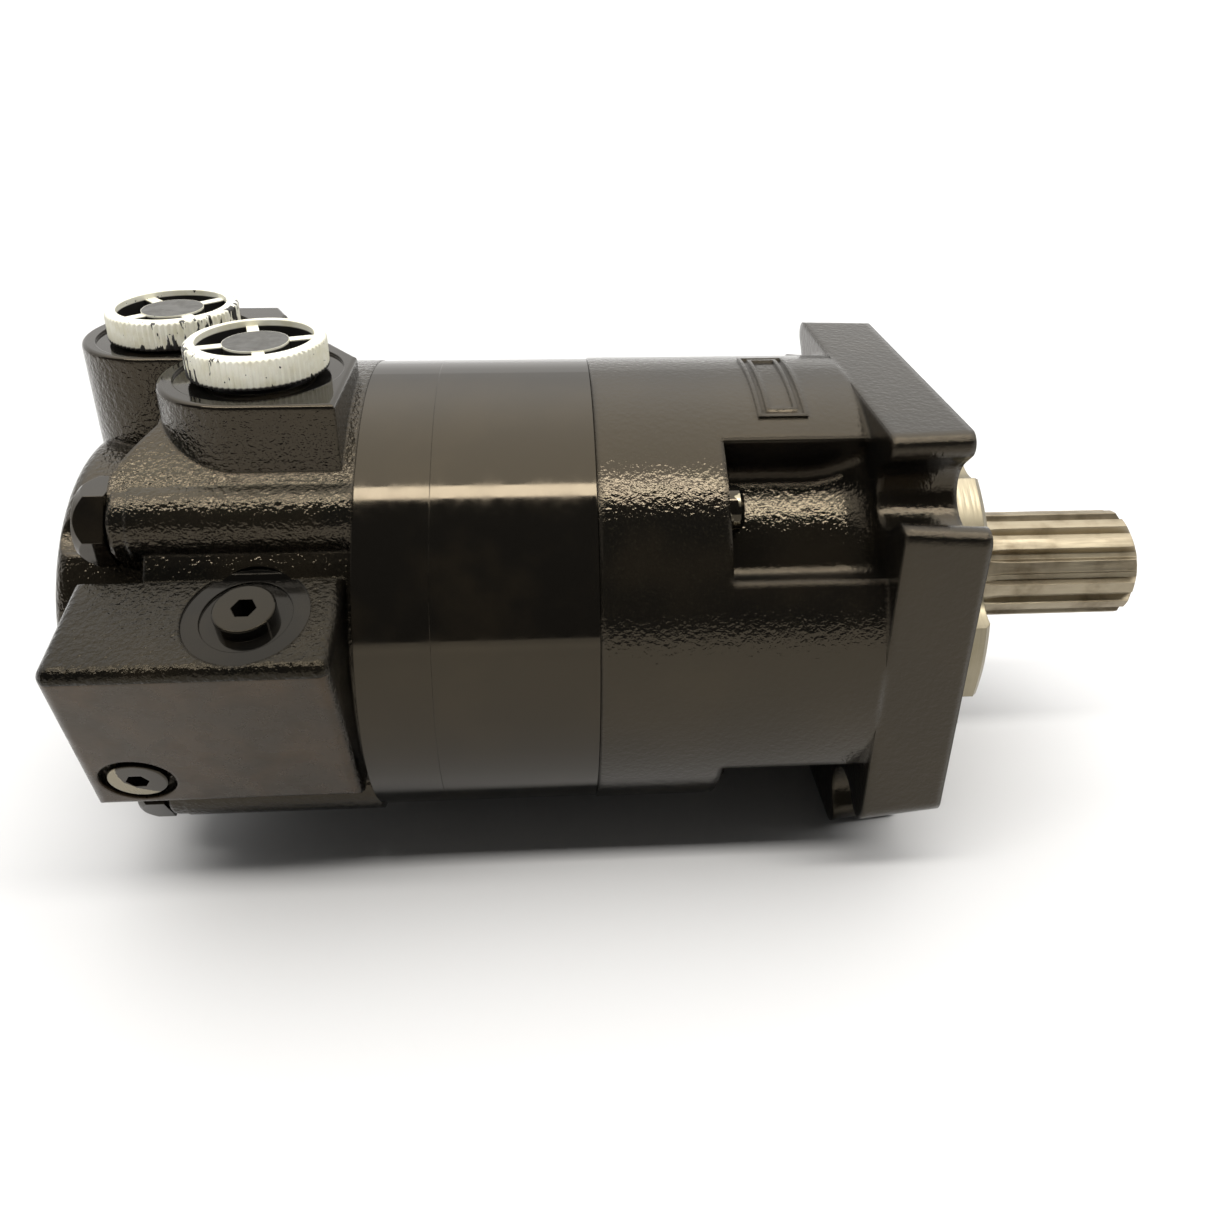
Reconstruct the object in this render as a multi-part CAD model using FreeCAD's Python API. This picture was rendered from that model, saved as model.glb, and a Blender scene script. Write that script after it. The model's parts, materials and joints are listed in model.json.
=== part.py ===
import FreeCAD, Part
import math
import os

# Disc-valve geroler hydraulic motor. Millimetres.
# +X runs along the shaft out of the mounting flange, +Z is up through the ports,
# the origin is on the shaft axis in the plane of the mounting face.

V = FreeCAD.Vector
X_DIR = V(1, 0, 0)
Z_DIR = V(0, 0, 1)
ORIGIN = V(0, 0, 0)

# ---- stack of sections along the shaft axis ----
BODY_R = 63.25
CAST_R = 63.6
GEROLER_FRONT = -90.0
PLATE_FRONT = -130.0
HOUSING_FRONT = -148.0
CASTING_REAR = -197.0
BOSS_REAR = -205.0
DRUM_REAR = -225.0
DRUM_R = 44.0

# ---- square mounting flange and pilot ----
FLANGE_T = 20.6
FLANGE_HALF = 62.9
SLOT_CENTRE_R = 67.5
UPPER_SLOT = (7.8, 8.8)
LOWER_SLOT = (9.5, 11.5)
UPPER_LOBE_ROUND = 3.5
LOWER_LOBE_ROUND = 5.0
PILOT_R = 50.8
PILOT_H = 11.2
PILOT_BORE_R = 38.0
SCALLOPS = 8
SCALLOP_R = 10.0
SCALLOP_CENTRE_R = 54.4
RECESS_REAR = -58.0
RECESS_FLOOR_R = 48.0
RECESS_LIP_R = 56.6
RECESS_RISE_FROM = -38.0
RECESS_ROUND = 3.0
UPPER_RECESS = (135.0, 16.5)
LOWER_RECESS = (229.6, 27.4)

# ---- blank name panel on the barrel ----
FRAME_REAR = -48.0
FRAME_FRONT = -35.2
FRAME_ANGLE = 97.0
FRAME_HALF_ANGLE = 15.0
FRAME_LINE = 0.9
FRAME_RAISE = 0.7

# ---- tie bolts ----
BOLT_R = 6.0
BOLT_CIRCLE_R = 54.0
BOLT_ANGLE = 47.5
BOLT_TIP = -53.5
BOLT_HEAD_AF = 19.0
BOLT_HEAD_H = 7.5
BOLT_CLEAR_R = 6.6
BOLT_BOSS_R = 10.5
BOLT_SPOT_R = 11.6
BOLT_BOSS_ROUND = 2.0

# ---- geroler set ----
STAR_TEETH = 6
ROLLERS = STAR_TEETH + 1
ROLLER_CIRCLE_R = 36.0
ECCENTRICITY = 3.0
ROLLER_R = 6.47
POCKET_R = 6.52
STAR_OFFSET = 6.53
RING_BORE_R = 35.8
AXIAL_GAP = 0.03

# ---- internal splines and links ----
LINK_TEETH = 10
LINK_TIP_R = 11.5
LINK_ROOT_R = 14.5
LINK_PLAY = 0.5
DRIVE_SHAFT_X = -50.0
DRIVE_STAR_X = -100.0
VALVE_STAR_X = -119.0
VALVE_DISC_X = -155.0
SPACER_REAR = -113.1
SPACER_FRONT = -107.7

# ---- output shaft ----
SHAFT_END = 71.8
SPLINE_TEETH = 14
SPLINE_R = 15.6
SPLINE_ROOT_R = 13.4
SPLINE_START = 33.0
HOB_R = 28.0
SEAL_R = 20.0
JOURNAL_R = 22.5
COLLAR_R = 27.5
SHAFT_REAR = -77.0

# ---- tapered roller bearings ----
BEARING_R = 37.5
BEARING_W = 20.0
FRONT_BEARING = -26.0
REAR_BEARING = -72.0
CUP_ANGLE = 15.0
CONE_ANGLE = 12.0
CUP_RACE_R = 33.6
BEARING_ROLLERS = 20
BEARING_ROLLER_L = 14.0

# ---- shaft sealing ----
CARRIER_FRONT = 2.0
SEAL_POCKET_R = 31.0
CIRCLIP_T = 2.5

# ---- disc valve and balance ring ----
CHAMBER_R = 38.0
CHAMBER_REAR = -172.0
DISC_R = 36.0
DISC_REAR = -162.0
SPRING_CIRCLE_R = 26.0
BALANCE_SPRINGS = 6

# ---- face seals ----
FACE_SEAL_R = 45.1
FACE_SEAL_T = 2.0
FACE_GROOVE_W = 3.2

# ---- port bosses and their closing plugs ----
PORT_TOP = 69.0
PORT_BOSS_R = 23.2
NEAR_PORT = (-173.6, -12.4)
FAR_PORT = (-203.7, 19.6)
NEAR_BOSS = (-174.8, -13.2)
FAR_BOSS = (-205.2, 20.8)
NEAR_BOSS_END = -151.0
FAR_BOSS_END = -177.0
SPOTFACE_R = 20.75
SPOTFACE_DEPTH = 0.7
PORT_THREAD_R = 12.35
PORT_THREAD_DEPTH = 18.0
PORT_CHAMFER = 2.4
PLUG_HEAD_R = 17.3
PLUG_HEAD_H = 7.8
PLUG_RING_IN_R = 14.3
PLUG_ROUND = 1.6
PLUG_HUB_R = 8.1
PLUG_STEM_R = 12.2
PLUG_STEM_L = 15.0
PLUG_KNURLS = 72
PLUG_SPOKE_W = 3.0
NEAR_PLUG_GAP = 1.8
FAR_PLUG_GAP = 1.0
NEAR_PLUG_TURN = 17.0
FAR_PLUG_TURN = 42.0

# ---- valve block on the near side ----
BLOCK_FRONT = -150.0
BLOCK_REAR = -212.0
BLOCK_REAR_SLANT = 5.0
BLOCK_CORNER = (-77.2, 23.8)
BLOCK_TOP_TILT = 16.0
BLOCK_FACE_TILT = 20.0
BLOCK_FACE_L = 58.0
BLOCK_ROUND = 3.0
DRAIN_X = -170.7
DRAIN_BACK = 16.5
RELIEF_X = -203.0
RELIEF_DOWN = 45.2
SMALL_SPOT_R = 10.4
SMALL_RELIEF_R = 14.3
SMALL_THREAD_R = 4.95
SMALL_HEAD_R = 7.1
SPOOL_DOWN = 27.0
SPOOL_BACK = 15.0
SPOOL_R = 5.97
SPOOL_BORE_R = 6.0


def cylinder_x(x0, x1, radius, y=0.0, z=0.0):
    """Solid cylinder along X between two stations."""
    return Part.makeCylinder(radius, x1 - x0, V(x0, y, z), X_DIR)


def ring_x(x0, x1, outer, inner):
    """Plain ring about the shaft axis."""
    return cylinder_x(x0, x1, outer).cut(cylinder_x(x0 - 1, x1 + 1, inner))


def turned(points):
    """Solid of revolution about X from (x, radius) points."""
    wire = Part.makePolygon([V(x, 0, r) for x, r in points + points[:1]])
    return Part.Face(wire).revolve(ORIGIN, X_DIR, 360)


def prism_x(points, x0, x1):
    """Extrusion along X of a closed (y, z) outline."""
    wire = Part.makePolygon([V(x0, y, z) for y, z in points + points[:1]])
    return Part.Face(wire).extrude(V(x1 - x0, 0, 0))


def polar(radius, degrees):
    """(y, z) point at an angle turned from +Y towards +Z."""
    angle = math.radians(degrees)
    return radius * math.cos(angle), radius * math.sin(angle)


def about_x(shape, degrees):
    copy = shape.copy()
    copy.rotate(ORIGIN, X_DIR, degrees)
    return copy


def copies_about_x(shape, count, start=0.0):
    return [about_x(shape, start + 360.0 * i / count) for i in range(count)]


def sector_x(x0, x1, inner, outer, middle, half):
    """Part of a ring between two angles about the shaft axis."""
    steps = [middle - half + 2.0 * half * i / 8 for i in range(9)]
    reach = outer / math.cos(math.radians(half / 4)) + 5.0
    fan = [(0.0, 0.0)] + [polar(reach, a) for a in steps]
    return ring_x(x0, x1, outer, inner).common(prism_x(fan, x0, x1))


def torus_x(x, major, minor):
    return Part.makeTorus(major, minor, V(x, 0, 0), X_DIR)


def fuse_all(first, others):
    return first.fuse(list(others)).removeSplitter()


def cut_all(first, others):
    return first.cut(list(others))


def export(shape, node):
    if shape.ShapeType == "Compound" and len(shape.Solids) == 1:
        shape = shape.Solids[0]
    shape.exportStep("parts/" + node + ".step")


def bolt_places():
    """(y, z) of the four tie bolts."""
    angles = (180 - BOLT_ANGLE, BOLT_ANGLE, -BOLT_ANGLE, BOLT_ANGLE - 180)
    return [polar(BOLT_CIRCLE_R, a) for a in angles]


def bolt_holes(x0, x1, radius):
    return [cylinder_x(x0, x1, radius, y, z) for y, z in bolt_places()]


def face_groove(x0, x1):
    half = FACE_GROOVE_W / 2
    return ring_x(x0, x1, FACE_SEAL_R + half, FACE_SEAL_R - half)


def hexagon_x(across_flats, x0, x1, y=0.0, z=0.0, turn=0.0):
    corner = across_flats / math.sqrt(3)
    ends = [polar(corner, turn + 60 * i) for i in range(6)]
    return prism_x([(y + a, z + b) for a, b in ends], x0, x1)


def tooth_outline(teeth, tip, root, shrink):
    """Closed straight-flank spline outline; shrink narrows every tooth."""
    pitch = 360.0 / teeth
    points = []
    for i in range(teeth):
        middle = i * pitch
        low = pitch * 0.30 - math.degrees(shrink / root)
        high = pitch * 0.20 - math.degrees(shrink / tip)
        for radius, angle in ((root, -low), (tip, -high), (tip, high), (root, low)):
            points.append(polar(radius, middle + angle))
        points.append(polar(root, middle + pitch / 2))
    return points


def coil(radius, wire, length, turns):
    """Compression spring standing along Z from the origin."""
    helix = Part.makeHelix(length / turns, length, radius)
    section = Part.Wire(Part.makeCircle(wire, V(radius, 0, 0), V(0, 1, 0)))
    return Part.Wire(helix).makePipeShell([section], True, True)


def lay_along(shape, base, direction):
    """Move a shape built along +Z from the origin to a base and direction."""
    shape = shape.copy()
    turn = FreeCAD.Rotation(Z_DIR, direction)
    shape.Placement = FreeCAD.Placement(base, turn).multiply(shape.Placement)
    return shape


# ---------------------------------------------------------------- flange housing
def slot_section(x, half):
    """Outline of a corner slot at one station, open towards +Y."""
    reach = 40.0
    arc = Part.Arc(V(x, 0, half), V(x, -half, 0), V(x, 0, -half)).toShape()
    sides = [Part.makeLine(V(x, 0, -half), V(x, reach, -half)),
             Part.makeLine(V(x, reach, -half), V(x, reach, half)),
             Part.makeLine(V(x, reach, half), V(x, 0, half))]
    return Part.Wire([arc] + sides)


def corner_slot(angle, widths):
    """Cast bolt slot, drafted so that it opens towards the mounting face."""
    back, front = widths
    draft = (front - back) / FLANGE_T
    ends = [slot_section(-FLANGE_T - 1, back - draft), slot_section(1, front + draft)]
    slot = about_x(Part.makeLoft(ends, True, True), angle)
    y, z = polar(SLOT_CENTRE_R, angle)
    slot.translate(V(0, y, z))
    return slot


def flange_plate():
    """Square plate with a slot open at every corner."""
    half = FLANGE_HALF
    plate = Part.makeBox(FLANGE_T, 2 * half, 2 * half, V(-FLANGE_T, -half, -half))
    slots = [corner_slot(a, UPPER_SLOT) for a in (45, 135)]
    slots += [corner_slot(a, LOWER_SLOT) for a in (225, 315)]
    plate = cut_all(plate, slots)
    upper, lower = [], []
    for edge in plate.Edges:
        ends = [v.Point for v in edge.Vertexes]
        if len(ends) != 2 or edge.BoundBox.XLength < FLANGE_T - 0.1:
            continue
        if all(abs(max(abs(e.y), abs(e.z)) - half) < 0.01 for e in ends):
            (upper if ends[0].z > 0 else lower).append(edge)
    return plate.makeFillet(UPPER_LOBE_ROUND, upper).makeFillet(LOWER_LOBE_ROUND, lower)


def pilot_ring():
    """Locating spigot, relieved by scallops between eight lands."""
    spigot = turned([(-2, 0), (-2, PILOT_R), (PILOT_H - 1.5, PILOT_R),
                     (PILOT_H, PILOT_R - 1.5), (PILOT_H, 0)])
    y, z = polar(SCALLOP_CENTRE_R, 22.5)
    scallop = cylinder_x(0, PILOT_H + 1, SCALLOP_R, y, z)
    return cut_all(spigot, copies_about_x(scallop, SCALLOPS))


def recess_profile():
    """Face in the XZ half-plane: level floor that sweeps up to the back of the flange."""
    rise = RECESS_LIP_R - RECESS_FLOOR_R
    run = -FLANGE_T - RECESS_RISE_FROM
    half_way = V(RECESS_RISE_FROM + 0.62 * run, 0, RECESS_FLOOR_R + 0.27 * rise)
    corners = [V(RECESS_RISE_FROM, 0, RECESS_FLOOR_R), V(RECESS_REAR, 0, RECESS_FLOOR_R),
               V(RECESS_REAR, 0, 90), V(-FLANGE_T, 0, 90), V(-FLANGE_T, 0, RECESS_LIP_R)]
    sweep = Part.Arc(corners[-1], half_way, corners[0]).toShape()
    lines = [Part.makeLine(a, b) for a, b in zip(corners, corners[1:])]
    return Part.Face(Part.Wire(lines + [sweep]))


def corner_recess(angle, half):
    """Pocket behind a flange corner that clears the mounting nut."""
    pocket = recess_profile().revolve(ORIGIN, X_DIR, 2 * half)
    pocket.rotate(ORIGIN, X_DIR, angle - half - 90)
    floor = [e for e in pocket.Edges if edge_radius(e) < 58 and e.BoundBox.XLength > 5]
    return pocket.makeFillet(RECESS_ROUND, floor)


def edge_radius(edge):
    """Largest distance of an edge's ends from the shaft axis."""
    return max(math.hypot(v.Point.y, v.Point.z) for v in edge.Vertexes)


def cast_frame():
    """Raised double border of the blank name panel on the barrel."""
    bars = []
    for inset in (0.0, 2.4):
        turn = math.degrees(inset / CAST_R)
        step = math.degrees(FRAME_LINE / CAST_R)
        x0, x1 = FRAME_REAR + inset, FRAME_FRONT - inset
        half = FRAME_HALF_ANGLE - turn
        outer = sector_x(x0, x1, CAST_R - 1, CAST_R + FRAME_RAISE, FRAME_ANGLE, half)
        inner = sector_x(x0 + FRAME_LINE, x1 - FRAME_LINE, CAST_R - 2, CAST_R + 2,
                         FRAME_ANGLE, half - step)
        bars.append(outer.cut(inner))
    return bars


def bearing_housing():
    body = turned([(GEROLER_FRONT, 0), (GEROLER_FRONT, CAST_R - 0.6),
                   (GEROLER_FRONT + 0.6, CAST_R), (-FLANGE_T, CAST_R), (-FLANGE_T, 0)])
    body = fuse_all(body, [flange_plate(), pilot_ring()] + cast_frame())
    cuts = []
    for angle, half in (UPPER_RECESS, LOWER_RECESS):
        cuts += [corner_recess(angle, half), corner_recess(180 - angle, half)]
    cuts.append(cylinder_x(REAR_BEARING, PILOT_H + 1, BEARING_R))
    cuts.append(cylinder_x(CARRIER_FRONT + CIRCLIP_T, PILOT_H + 1, PILOT_BORE_R))
    cuts.append(cylinder_x(CARRIER_FRONT + 0.02, CARRIER_FRONT + CIRCLIP_T + 0.1, 39.6))
    cuts.append(cylinder_x(-80, REAR_BEARING + 1, 32))
    cuts.append(cylinder_x(GEROLER_FRONT - 1, -79, 19))
    cuts.append(face_groove(GEROLER_FRONT - 1, GEROLER_FRONT + FACE_SEAL_T))
    cuts += bolt_holes(GEROLER_FRONT - 1, RECESS_REAR + 4, BOLT_R + 0.03)
    return cut_all(body, cuts)


# ---------------------------------------------------------------- geroler set
def geroler_ring():
    ring = cylinder_x(PLATE_FRONT, GEROLER_FRONT, BODY_R)
    cuts = [cylinder_x(PLATE_FRONT - 1, GEROLER_FRONT + 1, RING_BORE_R)]
    for i in range(ROLLERS):
        y, z = polar(ROLLER_CIRCLE_R, 360.0 * i / ROLLERS)
        cuts.append(cylinder_x(PLATE_FRONT - 1, GEROLER_FRONT + 1, POCKET_R, y, z))
    cuts += bolt_holes(PLATE_FRONT - 1, GEROLER_FRONT + 1, BOLT_CLEAR_R)
    return cut_all(ring, cuts)


def geroler_roller(index):
    y, z = polar(ROLLER_CIRCLE_R, 360.0 * index / ROLLERS)
    return cylinder_x(PLATE_FRONT + AXIAL_GAP, GEROLER_FRONT - AXIAL_GAP, ROLLER_R, y, z)


def star_outline(samples=252):
    """Inward offset of the path the roller centres take round the star."""
    lobes = STAR_TEETH + 1
    points = []
    for i in range(samples):
        a = 2 * math.pi * i / samples
        y = ROLLER_CIRCLE_R * math.cos(a) - ECCENTRICITY * math.cos(lobes * a)
        z = ROLLER_CIRCLE_R * math.sin(a) - ECCENTRICITY * math.sin(lobes * a)
        dy = -ROLLER_CIRCLE_R * math.sin(a) + ECCENTRICITY * lobes * math.sin(lobes * a)
        dz = ROLLER_CIRCLE_R * math.cos(a) - ECCENTRICITY * lobes * math.cos(lobes * a)
        speed = math.hypot(dy, dz)
        points.append((y - STAR_OFFSET * dz / speed, z + STAR_OFFSET * dy / speed))
    return points


def geroler_star():
    x0 = PLATE_FRONT + AXIAL_GAP
    length = GEROLER_FRONT - PLATE_FRONT - 2 * AXIAL_GAP
    curve = Part.BSplineCurve()
    curve.interpolate([V(x0, y, z) for y, z in star_outline()], PeriodicFlag=True)
    face = Part.Face(Part.Wire(curve.toShape()))
    star = face.extrude(V(length, 0, 0))
    bore = prism_x(tooth_outline(LINK_TEETH, LINK_ROOT_R, LINK_TIP_R, 0), x0 - 1, x0 + length + 1)
    star = star.cut(bore)
    star.translate(V(0, ECCENTRICITY, 0))
    return star


def link_head(length):
    """Crowned spline head centred on the origin."""
    outline = tooth_outline(LINK_TEETH, LINK_ROOT_R - 0.5, LINK_TIP_R - 0.7, LINK_PLAY)
    head = prism_x(outline, -length / 2, length / 2)
    return head.common(Part.makeSphere(LINK_ROOT_R - 0.45))


def link(star_x, other_x, head_l, shank_r):
    """Double-headed link from the orbiting star to a part on the shaft axis."""
    span = math.hypot(other_x - star_x, ECCENTRICITY)
    tilt = math.degrees(math.atan2(ECCENTRICITY, abs(other_x - star_x)))
    side = 1 if other_x > star_x else -1
    far = link_head(head_l)
    far.translate(V(side * span, 0, 0))
    low, high = min(0, side * span), max(0, side * span)
    bar = fuse_all(cylinder_x(low, high, shank_r), [link_head(head_l), far])
    bar.rotate(ORIGIN, Z_DIR, -side * tilt)
    bar.translate(V(star_x, ECCENTRICITY, 0))
    return bar


def drive_spacer():
    """Disc that keeps the two link heads apart in the star's bore."""
    disc = cylinder_x(SPACER_REAR, SPACER_FRONT, LINK_TIP_R - 1.0)
    disc.translate(V(0, ECCENTRICITY, 0))
    return disc


# ---------------------------------------------------------------- output shaft
def spline_groove():
    """One groove of the output spline with the run-out left by the hob."""
    top, low = 2.18, 0.80
    depth = SPLINE_R + 0.5
    points = [V(0, -top, depth), V(0, -low, SPLINE_ROOT_R),
              V(0, low, SPLINE_ROOT_R), V(0, top, depth), V(0, -top, depth)]
    face = Part.Face(Part.makePolygon(points))
    face.translate(V(SPLINE_START, 0, 0))
    straight = face.extrude(V(SHAFT_END - SPLINE_START + 1, 0, 0))
    runout = face.revolve(V(SPLINE_START, 0, SPLINE_ROOT_R + HOB_R), V(0, 1, 0), 27)
    return straight.fuse(runout)


def output_shaft():
    shaft = turned([(SHAFT_REAR, 0), (SHAFT_REAR, JOURNAL_R - 1), (SHAFT_REAR + 1, JOURNAL_R),
                    (-52, JOURNAL_R), (-52, COLLAR_R), (-46, COLLAR_R), (-46, JOURNAL_R),
                    (-24, JOURNAL_R), (-23, SEAL_R), (14, SEAL_R), (16, SEAL_R - 2),
                    (18, SPLINE_R), (SHAFT_END - 1.8, SPLINE_R), (SHAFT_END, SPLINE_R - 2.6),
                    (SHAFT_END, 0)])
    grooves = copies_about_x(spline_groove(), SPLINE_TEETH)
    socket = prism_x(tooth_outline(LINK_TEETH, LINK_ROOT_R, LINK_TIP_R, 0), SHAFT_REAR - 1, -38)
    relief = cylinder_x(-38.5, -30, LINK_TIP_R)
    centre = Part.makeCone(0, 3.2, 5.5, V(SHAFT_END - 5.5, 0, 0), X_DIR)
    return cut_all(shaft, grooves + [socket, relief, centre])


def shaft_nut():
    nut = hexagon_x(54, REAR_BEARING - 5, REAR_BEARING - 0.02)
    nut = nut.common(cylinder_x(-90, -60, 29.5))
    return nut.cut(cylinder_x(-90, -60, JOURNAL_R))


# ---------------------------------------------------------------- bearings
def bearing_apex():
    """Axial distance from the middle of a bearing to its common apex."""
    return CUP_RACE_R / math.tan(math.radians(CUP_ANGLE))


def bearing_cup():
    """Outer race with its back face at x = 0 and the bearing towards -x."""
    middle = -BEARING_W / 2
    slope = math.tan(math.radians(CUP_ANGLE))
    far = -BEARING_W + 3.0
    return turned([(0, CUP_RACE_R - slope * (0 - middle)), (0, BEARING_R - 0.6),
                   (-0.6, BEARING_R), (far, BEARING_R),
                   (far, CUP_RACE_R + slope * (middle - far))])


def bearing_cone():
    """Inner race; the large end with its rib is at x = -width."""
    middle = -BEARING_W / 2
    slope = math.tan(math.radians(CONE_ANGLE))
    race = bearing_apex() * slope
    half = BEARING_ROLLER_L / 2 + 0.1
    big, small = middle - half, middle + half
    race_big, race_small = race + slope * half, race - slope * half
    return turned([(-2, JOURNAL_R), (-BEARING_W, JOURNAL_R), (-BEARING_W, race_big + 2.6),
                   (big, race_big + 2.6), (big, race_big), (small, race_small),
                   (small, race_small + 0.9), (-2, race_small + 0.9)])


def bearing_roller(grow=0.0):
    """One tapered roller in place on +Z."""
    axis_angle = (CUP_ANGLE + CONE_ANGLE) / 2
    half_taper = math.radians((CUP_ANGLE - CONE_ANGLE) / 2)
    reach = bearing_apex() / math.cos(math.radians(axis_angle))
    half = BEARING_ROLLER_L / 2 - 0.6 + grow
    small = (reach - half) * math.sin(half_taper) - 0.03 + grow
    big = (reach + half) * math.sin(half_taper) - 0.03 + grow
    roller = Part.makeCone(small, big, 2 * half, V(reach - half, 0, 0), X_DIR)
    roller.rotate(ORIGIN, V(0, 1, 0), -180 + axis_angle)
    roller.translate(V(bearing_apex() - BEARING_W / 2, 0, 0))
    return roller


def bearing_rollers():
    return Part.makeCompound(copies_about_x(bearing_roller(), BEARING_ROLLERS))


def bearing_cage():
    """Thin conical cage with a window round every roller."""
    middle = -BEARING_W / 2
    slope = math.tan(math.radians((CUP_ANGLE + CONE_ANGLE) / 2))
    mean = bearing_apex() * slope
    half = BEARING_ROLLER_L / 2 + 1.6
    shell = turned([(middle - half, mean + slope * half - 0.5),
                    (middle - half, mean + slope * half + 1.1),
                    (middle + half, mean - slope * half + 1.1),
                    (middle + half, mean - slope * half - 0.5)])
    windows = copies_about_x(bearing_roller(0.25), BEARING_ROLLERS)
    return cut_all(shell, windows)


def placed_bearing(shape, front):
    """Put a bearing piece in the front seat, or mirrored in the rear seat."""
    if front:
        shape = shape.copy()
        shape.translate(V(FRONT_BEARING, 0, 0))
        return shape
    shape = shape.mirror(ORIGIN, X_DIR)
    shape.translate(V(REAR_BEARING, 0, 0))
    return shape


# ---------------------------------------------------------------- shaft sealing
def seal_carrier():
    carrier = turned([(FRONT_BEARING, 24), (FRONT_BEARING, BEARING_R - 0.02),
                      (CARRIER_FRONT, BEARING_R - 0.02), (CARRIER_FRONT, SEAL_POCKET_R),
                      (-20, SEAL_POCKET_R), (-20, 24)])
    groove = ring_x(-15, -11.4, 40, BEARING_R - 2.2)
    return carrier.cut(groove)


def shaft_seal():
    return turned([(-20, SEAL_POCKET_R), (-11, SEAL_POCKET_R), (-11, 28.6), (-18.4, 28.6),
                   (-18.4, 23.6), (-13.2, 21.6), (-15.2, SEAL_R + 0.02),
                   (-17.4, 21.0), (-20, 22.4)])


def dust_seal():
    return turned([(-6, SEAL_POCKET_R), (1.6, SEAL_POCKET_R), (1.6, 27.5), (-4.4, 26.5),
                   (-2.4, SEAL_R + 1.6), (1.2, SEAL_R + 0.02), (0.2, SEAL_R + 0.02),
                   (-5.6, SEAL_R + 1.4)])


def retaining_ring():
    x0 = CARRIER_FRONT + 0.05
    ring = ring_x(x0, x0 + CIRCLIP_T - 0.05, 39.4, 35.4)
    gap = prism_x([(-7, -40), (7, -40), (5, -30), (-5, -30)], x0 - 1, x0 + CIRCLIP_T + 1)
    ears = [cylinder_x(x0, x0 + CIRCLIP_T - 0.05, 2.6, s * 9.2, -34.2) for s in (-1, 1)]
    holes = [cylinder_x(x0 - 1, x0 + CIRCLIP_T + 1, 1.2, s * 9.2, -34.2) for s in (-1, 1)]
    return cut_all(fuse_all(ring.cut(gap), ears), holes)


# ---------------------------------------------------------------- valve section
def valve_plate():
    plate = cylinder_x(HOUSING_FRONT, PLATE_FRONT, BODY_R)
    cuts = [cylinder_x(HOUSING_FRONT - 1, PLATE_FRONT + 1, 18)]
    for i in range(ROLLERS):
        y, z = polar(30.5, 360.0 * (i + 0.5) / ROLLERS)
        cuts.append(cylinder_x(HOUSING_FRONT - 1, PLATE_FRONT + 1, 3.2, y, z))
    cuts.append(face_groove(PLATE_FRONT - FACE_SEAL_T, PLATE_FRONT + 1))
    cuts += bolt_holes(HOUSING_FRONT - 1, PLATE_FRONT + 1, BOLT_CLEAR_R)
    return cut_all(plate, cuts)


def disc_valve():
    """Rotary distributor: six windows fed from the rim, six from the centre."""
    disc = cylinder_x(DISC_REAR, HOUSING_FRONT - AXIAL_GAP, DISC_R)
    front = HOUSING_FRONT + 1
    cuts = [prism_x(tooth_outline(LINK_TEETH, LINK_ROOT_R, LINK_TIP_R, 0), DISC_REAR - 1, front)]
    for i in range(STAR_TEETH):
        cuts.append(sector_x(-157, front, 27, 40, 60.0 * i, 8))
        cuts.append(sector_x(-157, front, 20, 33, 60.0 * i + 30, 8))
        y, z = polar(22, 60.0 * i + 30)
        cuts.append(cylinder_x(DISC_REAR - 1, -150, 2.4, y, z))
    return cut_all(disc, cuts)


def balance_ring():
    ring = ring_x(CHAMBER_REAR, DISC_REAR - AXIAL_GAP, CHAMBER_R - 0.04, 18)
    return ring.cut(ring_x(CHAMBER_REAR - 1, CHAMBER_REAR + 3, 33, 21))


def balance_springs():
    springs = []
    for i in range(BALANCE_SPRINGS):
        y, z = polar(SPRING_CIRCLE_R + 1, 60.0 * i + 15)
        springs.append(lay_along(coil(2.4, 0.45, 13.0, 5), V(-183.4, y, z), X_DIR))
    return Part.makeCompound(springs)


# ---------------------------------------------------------------- valve housing
def block_axes():
    """Corner of the valve block, direction down its face and back along its top."""
    face = math.radians(BLOCK_FACE_TILT)
    top = math.radians(BLOCK_TOP_TILT)
    corner = V(0, BLOCK_CORNER[0], BLOCK_CORNER[1])
    down = V(0, math.sin(face), -math.cos(face))
    back = V(0, math.cos(top), math.sin(top))
    return corner, down, back


def valve_block():
    corner, down, back = block_axes()
    foot = corner + down * BLOCK_FACE_L
    shelf = corner + back * 27
    inside = (-26.0, 10.0), (-30.0, -22.0)
    outline = [(corner.y, corner.z), (shelf.y, shelf.z)] + list(inside) + [(foot.y, foot.z)]
    block = prism_x(outline, BLOCK_REAR - BLOCK_REAR_SLANT, BLOCK_FRONT)
    head, toe, back_x = corner.z + 10, foot.z - 2, BLOCK_REAR - BLOCK_REAR_SLANT
    side = [V(BLOCK_REAR, -90, head), V(BLOCK_FRONT, -90, head), V(BLOCK_FRONT, -90, toe),
            V(back_x, -90, toe), V(BLOCK_REAR, -90, head)]
    block = block.common(Part.Face(Part.makePolygon(side)).extrude(V(0, 90, 0)))
    outer = [e for e in block.Edges if edge_radius(e) > 61 and e.BoundBox.Center.y < -50]
    return block.makeFillet(BLOCK_ROUND, outer)


def port_boss(centre, end, chamfer_x, chamfer_y):
    """Port boss, half round to the rear and square to the front."""
    x, y = centre
    low = 24.0
    height = PORT_TOP - low
    round_end = Part.makeCylinder(PORT_BOSS_R, height, V(x, y, low))
    near, far = y - PORT_BOSS_R, y + PORT_BOSS_R
    outline = [V(x, near, low), V(end, near, low), V(end, far - chamfer_y, low),
               V(end - chamfer_x, far, low), V(x, far, low), V(x, near, low)]
    block = Part.Face(Part.makePolygon(outline)).extrude(V(0, 0, height))
    boss = fuse_all(round_end, [block])
    rim = [e for e in boss.Edges if e.BoundBox.ZMin > PORT_TOP - 0.01]
    return boss.makeFillet(1.2, rim)


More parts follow.
